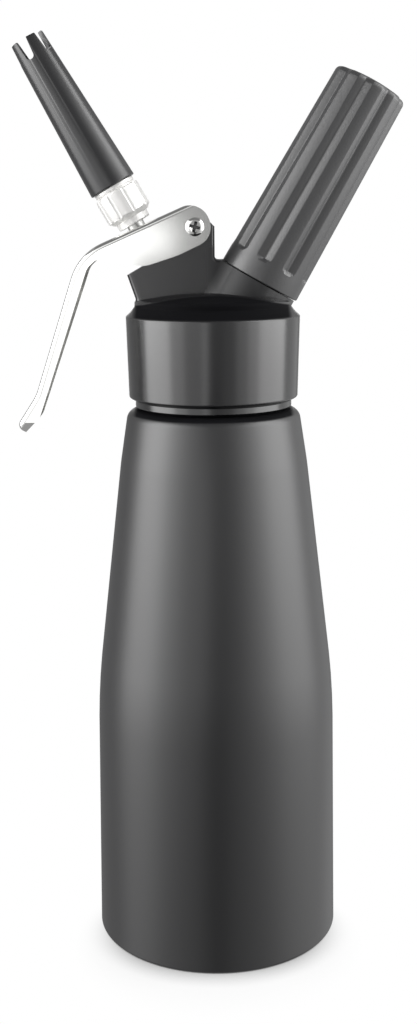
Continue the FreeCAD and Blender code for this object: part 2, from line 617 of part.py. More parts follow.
def pushed(corners, distance):
    """Corners of an open chain, moved square to its legs to the left of its run."""
    normals = []
    for first, second in zip(corners, corners[1:]):
        run = V(second[0] - first[0], 0, second[1] - first[1]).normalize()
        normals.append(V(-run.z, 0, run.x))
    normals = normals[:1] + normals + normals[-1:]
    moved = []
    for (x, z, rounding), before, after in zip(corners, normals, normals[1:]):
        shift = (before + after) * (distance / (1 + before.dot(after)))
        turns_left = before.cross(after).y < 0
        change = -distance if turns_left else distance
        moved.append((x + shift.x, z + shift.z, rounding + change if rounding else 0))
    return moved


def lever_form(inset):
    """Filled form of the lever's channel, smaller by the inset, with the sheet's bends rounded."""
    spare = LEVER_END
    start = lever_up * LEVER_TOP + lever_along * 4 * spare
    tip_low = V(LEVER_TIP[1][0], 0, LEVER_TIP[1][1])
    tip_run = (tip_low - V(LEVER_TIP[0][0], 0, LEVER_TIP[0][1])).normalize()
    tip_end = tip_low + tip_run * spare
    outer = [(start.x, start.z, 0)] + LEVER_OUTER + LEVER_TIP[:1] + [(tip_end.x, tip_end.z, 0)]
    outer = pushed(outer, inset)
    tip_inner, knee_inner = LEVER_LOWER[:2]
    inner = [(tip_inner[0] + spare, tip_inner[1], 0), (knee_inner[0] + spare, -3 * spare, 0),
             (start.x, -3 * spare, 0)]
    side = plate(from_pivot(outer + inner), LEVER_HALF + 1)
    half = LEVER_HALF - inset
    tip_half = HANDLE_HALF - inset
    corner = HANDLE_CORNER_ROUND - inset
    top = pivot.z + 3 * spare
    waist = pivot.z - HANDLE_TAPER_TOP
    tip_z = pivot.z + tip_low.z - TIP_FLAT + inset
    front = Part.Face(outline([
        (-half, top), (-half, waist, HANDLE_TAPER_ROUND), (-tip_half, tip_z, corner),
        (tip_half, tip_z, corner), (half, waist, HANDLE_TAPER_ROUND), (half, top)]))
    front.rotate(V(0, 0, 0), V(0, 0, 1), 90)
    front.translate(V(PIVOT_X - FAR, 0, 0))
    form = side.common(front.extrude(V(2 * FAR, 0, 0))).Solids[0]
    edges_along_outer = 2 * (len(outer) - 2) + 1
    bends = Part.Wire(outline(from_pivot(outer + inner)).OrderedEdges[:edges_along_outer])
    bends = bends.extrude(V(0, 4 * LEVER_HALF, 0))
    bends.translate(V(0, -2 * LEVER_HALF, 0))
    return form.makeFillet(BEND_ROUND - inset, [edge for edge in form.Edges if runs_along(edge, bends)])


def runs_along(edge, surface):
    """True for an edge that lies in the surface and doesn't just cross it along Y."""
    span = edge.LastParameter - edge.FirstParameter
    points = [edge.valueAt(edge.FirstParameter + span * share) for share in (0.1, 0.5, 0.9)]
    crosses = abs(points[2].y - points[0].y) > 0.98 * points[2].distanceToPoint(points[0])
    return not crosses and all(surface.distToShape(Part.Vertex(point))[0] < 1e-3 for point in points)


def lever():
    """Folded channel: top plate with a slot for the stem, side plates on the pivot, and handle."""
    top_end = lever_up * LEVER_TOP
    upper = top_end + lever_along * LEVER_END
    lower = lever_along * LEVER_END - lever_up * LEVER_END_DROP
    beyond = [3 * tip - 2 * low for tip, low in zip(LEVER_TIP[1][:2], LEVER_LOWER[0][:2])]
    kept = plate(from_pivot(
        [(top_end.x, top_end.z, 0), (top_end.x, FAR, 0), (-FAR, FAR, 0), (-FAR, -FAR, 0),
         (beyond[0], beyond[1], 0)] + LEVER_LOWER
        + [(lower.x, lower.z, LEVER_END_LOWER_ROUND), (upper.x, upper.z, LEVER_END_ROUND)]), 2 * LEVER_HALF)
    slot_r = STEM_R + SLOT_PLAY
    near_end = rod(slot_r, 0, 4 * SHEET)
    near_end.translate(V(SLOT_TRAVEL / 2, 0, 0))
    far_end = rod(slot_r, 0, 4 * SHEET)
    far_end.translate(V(-SLOT_TRAVEL / 2, 0, 0))
    middle = Part.makeBox(SLOT_TRAVEL, 2 * slot_r, 4 * SHEET, V(-SLOT_TRAVEL / 2, -slot_r, 0))
    slot = leaning(middle.fuse([near_end, far_end]), -LEVER_TILT,
                   pivot - lever_along * SLOT_CENTRE + lever_up * (LEVER_TOP - 2 * SHEET))
    open_end = Part.makeBox(3 * LEVER_END, 2 * (LEVER_HALF - SHEET), 3 * LEVER_TOP,
                            V(TOP_PLATE_END, -LEVER_HALF + SHEET, 0))
    open_end = leaning(open_end, -LEVER_TILT, V(pivot))
    pivot_holes = rod_y(PIVOT_SHANK_R + RUNNING_GAP, pivot, -2 * LEVER_HALF, 2 * LEVER_HALF)
    return lever_form(0).common(kept).cut([lever_form(SHEET), open_end, slot, pivot_holes]).Solids[0]


def pivot_screw():
    """Pan-head screw through the lever and the tower's lug, its head at the front."""
    head_top = screw_face + PIVOT_HEAD_HEIGHT
    screw = turned([
        (0, -screw_face - PIVOT_NUT_HEIGHT), (PIVOT_SHANK_R, -screw_face - PIVOT_NUT_HEIGHT, 0.3),
        (PIVOT_SHANK_R, screw_face), (PIVOT_HEAD_R, screw_face), (PIVOT_HEAD_R, head_top, PIVOT_HEAD_ROUND),
        (0, head_top)])
    recess = cross_recess(CROSS_LENGTH, CROSS_WIDTH, CROSS_DEPTH)
    recess.translate(V(0, 0, head_top))
    return along_pivot(screw.cut(recess))


def pivot_nut():
    """Cap nut on the screw's end, at the back."""
    base = -screw_face
    corner_r = PIVOT_NUT_FLATS_R / cos(pi / 6)
    turns = [pi / 3 * index for index in range(6)]
    hexagon = Part.Face(outline([(corner_r * cos(turn), corner_r * sin(turn)) for turn in turns]))
    hexagon.rotate(V(0, 0, 0), V(1, 0, 0), 90)
    hexagon.translate(V(0, 0, base))
    cap_base = base - PIVOT_NUT_HEIGHT
    dome_end = cap_base - PIVOT_NUT_DOME
    cap = turned([(0, dome_end), (PIVOT_NUT_DOME_R, dome_end, PIVOT_NUT_DOME), (PIVOT_NUT_DOME_R, base),
                  (0, base)])
    nut = hexagon.extrude(V(0, 0, -PIVOT_NUT_HEIGHT)).fuse(cap)
    return along_pivot(nut.cut(rod(PIVOT_SHANK_R + PRESS_GAP, cap_base - FACE_GAP, base + 1)))


def pivot_bush():
    """Sleeve in the lug, around the screw."""
    return along_pivot(ring(PIVOT_BUSH_R, PIVOT_SHANK_R + PRESS_GAP, -TOWER_HALF, TOWER_HALF))


def along_pivot(shape):
    """Moves a shape made about Z onto the pivot's axis; its +Z end comes to the front."""
    shape.rotate(V(0, 0, 0), V(1, 0, 0), 90)
    shape.translate(pivot)
    return shape


# ---- Charger inlet ------------------------------------------------------------------------------
def charger_inlet():
    """Threaded stub screwed into the boss, with the pocket for the charger's neck."""
    shoulder = INLET_WASHER - BOSS_GAP
    plug_floor = POCKET_FLOOR - PIN_PLUG_LENGTH
    check_floor = INLET_SHANK_END + CHECK_DEPTH
    stub = turned([
        (CHECK_R, INLET_SHANK_END), (INLET_SHANK_R, INLET_SHANK_END, 0.4), (INLET_SHANK_R, shoulder),
        (INLET_R, shoulder), (INLET_R, INLET_TOP, INLET_EDGE_ROUND), (POCKET_R, INLET_TOP, 0.5),
        (POCKET_R, POCKET_FLOOR), (PIN_PLUG_R, POCKET_FLOOR), (PIN_PLUG_R, plug_floor),
        (GAS_BORE_R, plug_floor), (GAS_BORE_R, check_floor), (CHECK_R, check_floor)])
    thread_end = INLET_TOP - INLET_EDGE_ROUND
    ridge = thread_ridge(INLET_R, inlet_crest, INLET_THREAD_PITCH, INLET_THREAD_START, thread_end)
    return on_charger(stub.fuse(ridge))


def inlet_washer():
    return on_charger(ring(INLET_R, INLET_SHANK_R + PRESS_GAP, -BOSS_GAP, INLET_WASHER - BOSS_GAP))


def piercing_pin():
    """Hollow pin on its screwed plug; it pierces the charger's cap."""
    plug_r = PIN_PLUG_R - PRESS_GAP
    pin = turned([
        (PIN_BORE_R, POCKET_FLOOR - PIN_PLUG_LENGTH), (plug_r, POCKET_FLOOR - PIN_PLUG_LENGTH, 0.3),
        (plug_r, POCKET_FLOOR), (PIN_R, POCKET_FLOOR), (PIN_R, PIN_TIP - PIN_POINT),
        (PIN_BORE_R + PIN_LIP, PIN_TIP), (PIN_BORE_R, PIN_TIP)])
    return on_charger(pin)


def pin_gasket():
    return on_charger(ring(POCKET_R - PRESS_GAP, PIN_R + PRESS_GAP, POCKET_FLOOR,
                           POCKET_FLOOR + PIN_GASKET_THICKNESS))


def check_disc():
    """Rubber disc that lets the gas in and keeps it in."""
    top = INLET_SHANK_END + CHECK_DEPTH - FACE_GAP
    return on_charger(rod(CHECK_R - FREE_GAP, top - CHECK_DISC_THICKNESS, top))


def check_spring():
    low = INLET_SHANK_END + CHECK_PLUG_THICKNESS + FACE_GAP
    high = INLET_SHANK_END + CHECK_DEPTH - CHECK_DISC_THICKNESS - 2 * FACE_GAP
    coil_r = CHECK_R - FREE_GAP - 2 * CHECK_SPRING_WIRE_R
    return on_charger(coil(CHECK_SPRING_WIRE_R, coil_r, low, high, CHECK_SPRING_TURNS))


def check_plug():
    """Perforated plug that holds the check valve in the stub's lower end."""
    return on_charger(ring(CHECK_R - PRESS_GAP, GAS_BORE_R, INLET_SHANK_END,
                           INLET_SHANK_END + CHECK_PLUG_THICKNESS))


# ---- Gas charger and its holder -----------------------------------------------------------------
def gas_charger():
    """Steel cartridge, neck down on the pin's gasket."""
    neck_end = charger_mouth + CHARGER_NECK
    body_start = neck_end + CHARGER_SHOULDER
    inner_r = CHARGER_R - CHARGER_WALL
    inner_top = charger_end - CHARGER_WALL
    inner_end_round = CHARGER_END_ROUND - CHARGER_WALL
    inner_round = CHARGER_SHOULDER_ROUND - CHARGER_WALL
    return on_charger(turned([
        (CHARGER_MOUTH_R, charger_mouth), (CHARGER_NECK_R, charger_mouth, 0.5),
        (CHARGER_NECK_R, neck_end, CHARGER_NECK_ROUND), (CHARGER_R, body_start, CHARGER_SHOULDER_ROUND),
        (CHARGER_R, charger_end, CHARGER_END_ROUND), (0, charger_end), (0, inner_top),
        (inner_r, inner_top, inner_end_round), (inner_r, body_start + CHARGER_WALL / 2, inner_round),
        (CHARGER_MOUTH_R, neck_end + CHARGER_WALL / 2, CHARGER_NECK_ROUND)]))


def charger_cap():
    """Steel disc that closes the neck, pierced by the pin."""
    return on_charger(ring(CHARGER_MOUTH_R - PRESS_GAP, CHARGER_PIERCED_R, charger_mouth,
                           charger_mouth + CHARGER_CAP))


def charger_holder():
    """Grooved sleeve that screws onto the inlet and presses the charger onto the pin."""
    thread_bore = inlet_crest + FREE_GAP
    bore = CHARGER_R + FREE_GAP
    bore_end = charger_end + FREE_GAP
    thread_end = INLET_TOP + FREE_GAP
    edge = HOLDER_LENGTH - HOLDER_CROWN
    holder = turned([
        (thread_bore, 0), (HOLDER_BASE_R, 0, 0.5), (HOLDER_TIP_R, edge, HOLDER_EDGE_ROUND),
        (HOLDER_TIP_R / 2, HOLDER_LENGTH, HOLDER_CROWN_ROUND), (0, HOLDER_LENGTH), (0, bore_end),
        (bore, bore_end, HOLDER_END_ROUND), (bore, thread_end), (thread_bore, thread_end)])
    depth = HOLDER_GROOVE_DEPTH
    half = HOLDER_GROOVE / 2
    floor = HOLDER_BASE_R - depth
    vee = plate([(0, floor, HOLDER_GROOVE_ROUND), (1.5 * half, floor + 1.5 * depth),
                 (1.5 * half, floor + 3 * depth), (-1.5 * half, floor + 3 * depth),
                 (-1.5 * half, floor + 1.5 * depth)], 1.5 * HOLDER_LENGTH)
    vee.rotate(V(0, 0, 0), V(1, 0, 0), 90)
    vee.rotate(V(0, 0, 0), V(1, 0, 0), -degrees(atan2(HOLDER_BASE_R - HOLDER_TIP_R, edge)))
    end = edge - HOLDER_GROOVE_END
    round_end = 0.98 * half
    window = plate([(-half, HOLDER_GROOVE_START, round_end), (half, HOLDER_GROOVE_START, round_end),
                    (half, end, round_end), (-half, end, round_end)], HOLDER_BASE_R)
    window.translate(V(0, -HOLDER_BASE_R, 0))
    groove = vee.common(window)
    return on_charger(holder.cut(around(groove, HOLDER_GROOVE_COUNT, HOLDER_GROOVE_TURN)))


PARTS = [
    bottle, head_body, head_gasket, valve_guide, guide_set_screw, valve_stem, stem_o_rings, foot_seal,
    foot_nut, valve_spring, nozzle_adapter, nozzle_seal, nozzle, lever, pivot_screw, pivot_nut, pivot_bush,
    charger_inlet, inlet_washer, piercing_pin, pin_gasket, check_disc, check_spring, check_plug,
    gas_charger, charger_cap, charger_holder]

os.makedirs("parts", exist_ok=True)
for part in PARTS:
    part().exportStep("parts/" + part.__name__ + ".step")
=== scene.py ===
import json
from math import atan2, cos, degrees, hypot, pi, radians, sin, tan

import bmesh
import bpy
from mathutils import Matrix, Vector


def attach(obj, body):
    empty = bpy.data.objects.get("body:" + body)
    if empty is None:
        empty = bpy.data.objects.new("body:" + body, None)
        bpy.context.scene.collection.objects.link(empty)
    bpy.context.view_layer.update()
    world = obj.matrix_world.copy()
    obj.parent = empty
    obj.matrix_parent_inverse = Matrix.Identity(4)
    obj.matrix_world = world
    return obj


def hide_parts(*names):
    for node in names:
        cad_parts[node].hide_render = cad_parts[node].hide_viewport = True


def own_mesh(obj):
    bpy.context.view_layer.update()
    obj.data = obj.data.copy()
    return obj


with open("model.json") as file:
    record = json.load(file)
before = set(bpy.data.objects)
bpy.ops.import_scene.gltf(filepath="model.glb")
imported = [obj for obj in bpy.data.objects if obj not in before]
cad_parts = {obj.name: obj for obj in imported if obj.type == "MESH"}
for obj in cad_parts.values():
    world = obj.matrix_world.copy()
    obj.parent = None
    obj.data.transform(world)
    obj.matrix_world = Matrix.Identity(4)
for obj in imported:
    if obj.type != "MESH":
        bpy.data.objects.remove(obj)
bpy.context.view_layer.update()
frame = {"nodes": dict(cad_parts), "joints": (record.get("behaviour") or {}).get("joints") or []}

# Whipped cream dispenser: coated aluminium bottle and head, folded stainless lever on a cross-head
# screw, plated adapter with a black tulip nozzle, and a grooved plastic holder over the gas charger.
# Metres. The origin is the centre of the bottle's base, +Z is up, -X is the nozzle's side.

MM = 0.001
scene = bpy.context.scene


# ---- Materials -----------------------------------------------------------------------------------
# Painted shade: zones given this gloss and roughness stay black wherever the light falls.
PAINTED_SHADE_GLOSS = {"gloss": 0.04, "roughness": 0.7}      # a coat that stays black under any light
DROOP_AT = 30 * MM                            # a zone's droop is measured this far from the middle


def linear(colour):
    """Linear RGBA from an sRGB hex value."""
    channels = [int(colour[place:place + 2], 16) / 255 for place in (1, 3, 5)]
    return [c / 12.92 if c <= 0.04045 else ((c + 0.055) / 1.055) ** 2.4 for c in channels] + [1.0]


def feed(tree, socket, value):
    """Sets a socket to a value, or links it to the socket that gives it."""
    if isinstance(value, bpy.types.NodeSocket):
        tree.links.new(value, socket)
    else:
        socket.default_value = value


def add(tree, kind, settings=None, inputs=None):
    """Adds a node with its settings and inputs."""
    node = tree.nodes.new(kind)
    for name, value in (settings or {}).items():
        setattr(node, name, value)
    for name, value in (inputs or {}).items():
        feed(tree, node.inputs[name], value)
    return node


def surface(name, colour, roughness, metallic=0.0, **inputs):
    """A material with its shader; returns the material, its tree and the shader."""
    material = bpy.data.materials.new(name)
    material.use_nodes = True
    tree = material.node_tree
    shader = tree.nodes["Principled BSDF"]
    shader.inputs["Base Color"].default_value = linear(colour)
    shader.inputs["Roughness"].default_value = roughness
    shader.inputs["Metallic"].default_value = metallic
    for socket, value in inputs.items():
        shader.inputs[socket.replace("_", " ")].default_value = value
    return material, tree, shader


def grain(tree, size, detail=2.0, stretch=(1, 1, 1)):
    """Noise of 0 to 1 whose spots are about one size apart; stretch lengthens them along an axis."""
    place = add(tree, "ShaderNodeTexCoord")
    mapping = add(tree, "ShaderNodeMapping",
                  inputs={"Vector": place.outputs["Object"], "Scale": [1 / s for s in stretch]})
    noise = add(tree, "ShaderNodeTexNoise",
                inputs={"Vector": mapping.outputs["Vector"], "Scale": 1 / size, "Detail": detail})
    return noise.outputs["Fac"]


def relief(tree, shader, height, depth):
    """Turns a height of 0 to 1 into a bump of that depth."""
    bump = add(tree, "ShaderNodeBump", inputs={"Height": height, "Strength": 1.0, "Distance": depth})
    feed(tree, shader.inputs["Normal"], bump.outputs["Normal"])


def clouded(tree, shader, size, low, high):
    """Lets the roughness drift between two values, in clouds of a size."""
    change = add(tree, "ShaderNodeMapRange",
                 inputs={"Value": grain(tree, size), "To Min": low, "To Max": high})
    feed(tree, shader.inputs["Roughness"], change.outputs["Result"])


def zone(tree, heights, sides, soft, droop=0.0):
    """1 between two heights and two sides of the object, and 0 outside. Its sides are three times as
    soft as its heights, and its upper edge is lower by the droop at DROOP_AT from the middle."""
    place = add(tree, "ShaderNodeTexCoord")
    split = add(tree, "ShaderNodeSeparateXYZ", inputs={"Vector": place.outputs["Object"]})
    across = split.outputs["X"]
    height = split.outputs["Z"]
    square = add(tree, "ShaderNodeMath", {"operation": "MULTIPLY"}, {0: across, 1: across})
    raised = add(tree, "ShaderNodeMath", {"operation": "MULTIPLY_ADD"},
                 {0: square.outputs[0], 1: droop / DROOP_AT ** 2, 2: height})
    edges = (
        (height, heights[0], soft), (raised.outputs[0], heights[1], -soft),
        (across, sides[0], 3 * soft), (across, sides[1], -3 * soft))
    found = 1
    for value, edge, half in edges:
        step = add(tree, "ShaderNodeMapRange", {"interpolation_type": "SMOOTHSTEP"},
                   {"Value": value, "From Min": edge - half, "From Max": edge + half})
        both = add(tree, "ShaderNodeMath", {"operation": "MULTIPLY"}, {0: found, 1: step.outputs["Result"]})
        found = both.outputs[0]
    return found


def duller(tree, shader, where, gloss, roughness):
    """Takes gloss from a coat in a zone."""
    for name, value in (("Specular IOR Level", gloss), ("Roughness", roughness)):
        socket = shader.inputs[name]
        outside = socket.links[0].from_socket if socket.is_linked else socket.default_value
        change = add(tree, "ShaderNodeMix", {"data_type": "FLOAT"}, {0: where, 2: outside, 3: value})
        feed(tree, socket, change.outputs[0])


def coated_aluminium():
    """Powder coat on spun aluminium: even satin black, with an orange peel that softens its gloss.
    Its top edge under the collar is made matt and black, a painted shade, so the gap reads as a black line."""
    material, tree, shader = surface("satin black powder coat", "#131315", 0.38, Specular_IOR_Level=1.0)
    relief(tree, shader, grain(tree, 1.6 * MM), 0.012 * MM)
    # Painted shade: under the collar the coat is made black and matt.
    painted_shade_under_collar = zone(tree, heights=(200.2 * MM, 240 * MM), sides=(-31 * MM, 31 * MM), soft=0.4 * MM)
    duller(tree, shader, painted_shade_under_collar, **PAINTED_SHADE_GLOSS)
    return material


def lacquered_casting():
    """Stove enamel on the cast head: smoother and deeper black than the bottle, with crisp bands.
    The slopes between collar and dome are made matt and black, a painted shade; the root of the charger's
    boss is given less gloss and more roughness, a painted shade that spreads and dims its highlights."""
    material, tree, shader = surface("semi-gloss black enamel", "#0f0f11", 0.22, Specular_IOR_Level=1.0)
    relief(tree, shader, grain(tree, 2.4 * MM), 0.008 * MM)
    # Painted shade: at the root of the charger's boss less gloss dims the highlights.
    painted_shade_boss_root = zone(tree, heights=(242 * MM, 266 * MM), sides=(-1 * MM, 18 * MM), soft=1 * MM)
    duller(tree, shader, painted_shade_boss_root, gloss=0.55, roughness=0.5)
    # Painted shade: the slopes between collar and dome are made black and matt.
    slopes = zone(tree, heights=(238.5 * MM, 247.4 * MM), sides=(-31 * MM, 30.5 * MM), soft=0.5 * MM,
                  droop=4.2 * MM)
    duller(tree, shader, slopes, **PAINTED_SHADE_GLOSS)
    return material


def polished_stainless():
    """Folded stainless sheet, tumbled and polished: bright, with a slight cloud in its reflections."""
    material, tree, shader = surface("polished stainless sheet", "#ececea", 0.11, 1.0)
    clouded(tree, shader, 14 * MM, 0.09, 0.13)
    return material


def bright_nickel():
    """Nickel-plated brass: pale and a little warm, with a soft drift in its shine."""
    material, tree, shader = surface("bright nickel plate", "#f8f7f5", 0.3, 0.35)
    clouded(tree, shader, 5 * MM, 0.28, 0.32)
    return material


def machined_steel():
    """Turned stainless: fine tool marks blur the reflections."""
    material, tree, shader = surface("turned stainless", "#bcbcba", 0.28, 1.0)
    relief(tree, shader, grain(tree, 0.5 * MM), 0.004 * MM)
    return material


def drawn_wire():
    """Drawn spring wire: darker than sheet, with a dull shine."""
    material, tree, shader = surface("drawn spring wire", "#8d8d8f", 0.3, 1.0)
    clouded(tree, shader, 2 * MM, 0.25, 0.36)
    return material


def zinc_plate():
    """Zinc-plated charger: soft grey metal with the faint spots of its bath."""
    material, tree, shader = surface("zinc plate", "#b8babb", 0.33, 1.0)
    clouded(tree, shader, 3 * MM, 0.27, 0.4)
    return material


def recess_painted_shade():
    """Bottom and sides of a recess punched into the screw head, darker than the head: a painted shade, so
    the recess stays dark in the bright head.
    """
    material, tree, shader = surface("recess with painted shade", "#6a6a6a", 0.4, 1.0)
    clouded(tree, shader, 0.4 * MM, 0.35, 0.45)
    return material


def bare_aluminium():
    """Spun aluminium without its coat, inside the bottle and on its neck: fine rings about its axis,
    which noise makes when it is drawn out level."""
    material, tree, shader = surface("bare spun aluminium", "#b4b5b6", 0.35, 1.0)
    relief(tree, shader, grain(tree, 0.8 * MM, stretch=(60, 60, 1)), 0.01 * MM)
    return material


def glossy_nylon():
    """Moulded black nylon from a polished tool: soft highlights that follow the taper, hardly stirred
    by the sink of its wall."""
    material, tree, shader = surface("moulded black nylon", "#19191b", 0.3, Specular_IOR_Level=0.85)
    relief(tree, shader, grain(tree, 3 * MM), 0.006 * MM)
    return material


def grained_plastic():
    """Moulded plastic from a spark-eroded tool: a fine grain that breaks up the highlights. The grain
    is drawn coarser than the real one, so that it shows."""
    material, tree, shader = surface("spark-eroded black plastic", "#383839", 0.36, Specular_IOR_Level=1.0)
    relief(tree, shader, grain(tree, 0.7 * MM, detail=3.0), 0.05 * MM)
    return material


def seal_rubber():
    """Moulded rubber: dull black with a fine powdery grain."""
    material, tree, shader = surface("seal rubber", "#191919", 0.65)
    relief(tree, shader, grain(tree, 0.6 * MM), 0.01 * MM)
    return material


POWDER_COAT = coated_aluminium()
ENAMEL = lacquered_casting()
STAINLESS = polished_stainless()
NICKEL = bright_nickel()
TURNED = machined_steel()
WIRE = drawn_wire()
ZINC = zinc_plate()
RECESS_SHADE_PAINT = recess_painted_shade()
BARE = bare_aluminium()
NYLON = glossy_nylon()
GRAINED = grained_plastic()
RUBBER = seal_rubber()

FINISHES = {
    "bottle": POWDER_COAT, "head_body": ENAMEL, "head_gasket": RUBBER, "valve_guide": TURNED,
    "guide_set_screw": TURNED, "valve_stem": TURNED, "stem_o_rings": RUBBER, "foot_seal": RUBBER,
    "foot_nut": TURNED, "valve_spring": WIRE, "nozzle_adapter": NICKEL, "nozzle_seal": RUBBER,
    "nozzle": NYLON, "lever": STAINLESS, "pivot_screw": STAINLESS, "pivot_nut": STAINLESS,
    "pivot_bush": TURNED, "charger_inlet": NICKEL, "inlet_washer": RUBBER, "piercing_pin": TURNED,
    "pin_gasket": RUBBER, "check_disc": RUBBER, "check_spring": WIRE, "check_plug": TURNED,
    "gas_charger": ZINC, "charger_cap": ZINC, "charger_holder": GRAINED}

for node, finish in FINISHES.items():
    piece = frame["nodes"][node]
    piece.data.materials.clear()
    piece.data.materials.append(finish)


# ---- Shapes: made in millimetres, then moved to their place ---------------------------------------
def chain(mesh, corners, closed):
    """Edges through (x, z) corners of the XZ plane; a third value rounds the corner."""
    places = [Vector((corner[0], 0, corner[1])) for corner in corners]
    verts = [mesh.verts.new(place) for place in places]
    for pair in zip(verts, verts[1:] + (verts[:1] if closed else [])):
        mesh.edges.new(pair)
    for index, corner in enumerate(corners):
        if len(corner) > 2:
            back = places[index - 1] - places[index]
            onward = places[(index + 1) % len(places)] - places[index]
            half = back.angle(onward) / 2
            segments = max(3, round((180 - degrees(2 * half)) / 12))
            bmesh.ops.bevel(mesh, geom=[verts[index]], offset=corner[2] / tan(half), offset_type="OFFSET",
                            affect="VERTICES", segments=segments, profile=0.5, material=-1)


def lathe(corners, steps, closed=True):
    """Turned form about Z; an open chain starts and ends on the axis."""
    mesh = bmesh.new()
    chain(mesh, corners, closed)
    bmesh.ops.spin(mesh, geom=mesh.verts[:] + mesh.edges[:], angle=2 * pi, steps=steps, axis=(0, 0, 1),
                   cent=(0, 0, 0), use_merge=True)
    bmesh.ops.remove_doubles(mesh, verts=mesh.verts, dist=1e-5)
    bmesh.ops.recalc_face_normals(mesh, faces=mesh.faces)
    return mesh


def prism(corners, low, high):
    """Straight form along Y with its outline in the XZ plane."""
    mesh = bmesh.new()
    chain(mesh, corners, True)
    face = bmesh.ops.contextual_create(mesh, geom=mesh.edges[:])["faces"]
    bmesh.ops.translate(mesh, vec=(0, low, 0), verts=mesh.verts)
    end = bmesh.ops.extrude_face_region(mesh, geom=face, use_keep_orig=True)["geom"]
    end_verts = [part for part in end if isinstance(part, bmesh.types.BMVert)]
    bmesh.ops.translate(mesh, vec=(0, high - low, 0), verts=end_verts)
    bmesh.ops.recalc_face_normals(mesh, faces=mesh.faces)
    return mesh


def ridge(root, crest, pitch, low, high):
    """Helical ridge of a right-hand thread, a closed form that is rooted in its core."""
    mesh = bmesh.new()
    turn_steps = 72
    rooted = root - 0.3
    foot = 0.36 * pitch
    top = 0.12 * pitch
    soft = 0.1 * pitch
    chain(mesh, [(rooted, -foot), (crest, -top, soft), (crest, top, soft), (rooted, foot)], True)
    bmesh.ops.translate(mesh, vec=(0, 0, low + foot), verts=mesh.verts)
    steps = round((high - low - 2 * foot) / pitch * turn_steps)
    bmesh.ops.spin(mesh, geom=mesh.verts[:] + mesh.edges[:], angle=steps * 2 * pi / turn_steps, steps=steps,
                   axis=(0, 0, 1), cent=(0, 0, 0), dvec=(0, 0, pitch / turn_steps))
    bmesh.ops.holes_fill(mesh, edges=[edge for edge in mesh.edges if edge.is_boundary])
    bmesh.ops.recalc_face_normals(mesh, faces=mesh.faces)
    return mesh


def joined(*forms):
    """One mesh from several; the others are used up."""
    for form in forms[1:]:
        data = bpy.data.meshes.new("joined")
        form.to_mesh(data)
        form.free()
        forms[0].from_mesh(data)
        bpy.data.meshes.remove(data)
    return forms[0]


def repeated(form, count, turn):
    """Copies of a form made at the front (-Y) about Z, the first one turned by so many degrees."""
    bmesh.ops.rotate(form, cent=(0, 0, 0), matrix=Matrix.Rotation(radians(turn), 3, "Z"), verts=form.verts)
    copies = [form] + [form.copy() for _ in range(count - 1)]
    for index, copy in enumerate(copies):
        bmesh.ops.rotate(copy, cent=(0, 0, 0), matrix=Matrix.Rotation(2 * pi * index / count, 3, "Z"),
                         verts=copy.verts)
    return joined(*copies)


def carved(form, cutter):
    """A closed form less another; both are used up."""
    stands = []
    for mesh in (form, cutter):
        data = bpy.data.meshes.new("stand")
        mesh.to_mesh(data)
        mesh.free()
        stands.append(bpy.data.objects.new("stand", data))
        scene.collection.objects.link(stands[-1])
    cut = stands[0].modifiers.new("cut", "BOOLEAN")
    cut.object = stands[1]
    cut.solver = "EXACT"
    result = bmesh.new()
    result.from_object(stands[0], bpy.context.evaluated_depsgraph_get())
    for stand in stands:
        bpy.data.meshes.remove(stand.data)
    return result


def softened(mesh, width, above, segments=2):
    """Rounds the edges over 30 degrees that lie above a height, so that they catch the light."""
    sharp = [edge for edge in mesh.edges
             if len(edge.link_faces) == 2 and edge.calc_face_angle(0) > radians(30)
             and min(vert.co.z for vert in edge.verts) > above]
    bmesh.ops.bevel(mesh, geom=sharp, offset=width, offset_type="OFFSET", affect="EDGES", segments=segments,
                    profile=0.5, material=-1, clamp_overlap=True)


def make(name, mesh, finishes, body, nodes, place=Matrix(), crease=35):
    """Makes an object from a mesh in millimetres; it rides a body and stands for CAD nodes. Edges
    that turn by less than the crease are shaded smooth."""
    bmesh.ops.transform(mesh, matrix=Matrix.Scale(MM, 4) @ place, verts=mesh.verts)
    for edge in mesh.edges:
        edge.smooth = len(edge.link_faces) == 2 and edge.calc_face_angle(0) < radians(crease)
    for face in mesh.faces:
        face.smooth = True
    data = bpy.data.meshes.new(name)
    mesh.to_mesh(data)
    mesh.free()
    for finish in finishes:
        data.materials.append(finish)
    made = bpy.data.objects.new(name, data)
    scene.collection.objects.link(made)
    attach(made, body)
    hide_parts(*nodes)


def on_joint(name):
    """The place of one of the frame's joints, in millimetres, and the lean of its axis."""
    joint = next(joint for joint in frame["joints"] if joint["name"] == name)
    place = [round(value / MM, 3) for value in joint["pos_m"]]
    lean = round(degrees(atan2(joint["axis"][0], joint["axis"][2])), 3)
    return Matrix.Translation(place), Matrix.Rotation(radians(lean), 4, "Y")


